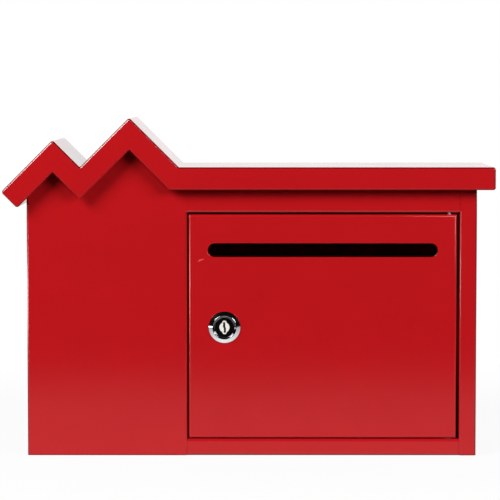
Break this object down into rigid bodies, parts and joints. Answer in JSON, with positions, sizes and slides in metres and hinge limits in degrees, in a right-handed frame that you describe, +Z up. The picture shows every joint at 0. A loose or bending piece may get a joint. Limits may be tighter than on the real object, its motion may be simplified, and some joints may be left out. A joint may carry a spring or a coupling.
{
  "type": "wall-mounted letterbox",
  "caption": "Folded sheet-steel letterbox with a zigzag gabled roof, a hinged front door with a letter slot and a key cam lock, and screw holes in its back for a wall.",
  "frame": {"origin": "on the wall, at the centre of the four wall screws", "axes": "+X to the right as seen from the front, +Y from the front to the wall, +Z up"},
  "size_m": [0.3801, 0.11, 0.2621],
  "materials": {
    "red_powder_coat": "semi-gloss powder coat on steel sheet",
    "chrome_plate": "polished",
    "nickel_plate": "bright",
    "zinc_plate": "bright zinc on steel",
    "black_plastic": "moulded, glossy",
    "brass": "stamped",
    "spring_steel": "drawn wire",
    "nylon": "natural"
  },
  "bodies": {
    "cabinet": {"roof": "red_powder_coat", "left_panel": "red_powder_coat", "right_panel": "red_powder_coat", "back_panel": "red_powder_coat", "floor_panel": "red_powder_coat", "header_rail": "red_powder_coat", "hinge_pin_top": "zinc_plate", "hinge_pin_bottom": "zinc_plate", "hinge_washer": "nylon"},
    "door": {"door": "red_powder_coat", "lock_housing": "chrome_plate", "lock_washer": "zinc_plate", "lock_nut": "zinc_plate"},
    "lock_core": {"lock_plug": "nickel_plate", "lock_face": "black_plastic", "lock_wafers": "brass", "wafer_springs": "spring_steel", "turn_stop": "zinc_plate", "lock_cam": "zinc_plate", "cam_washer": "zinc_plate", "cam_screw": "zinc_plate"}
  },
  "joints": [
    {"name": "door_swing", "type": "hinge", "parent": "cabinet", "child": "door", "pos_m": [0.1532, -0.0935, -0.0119], "axis": [0, 0, 1], "range_deg": [0, 110]},
    {"name": "lock_turn", "type": "hinge", "parent": "door", "child": "lock_core", "pos_m": [-0.0211, -0.098, -0.0123], "axis": [0, 1, 0], "range_deg": [0, 90]}
  ]
}
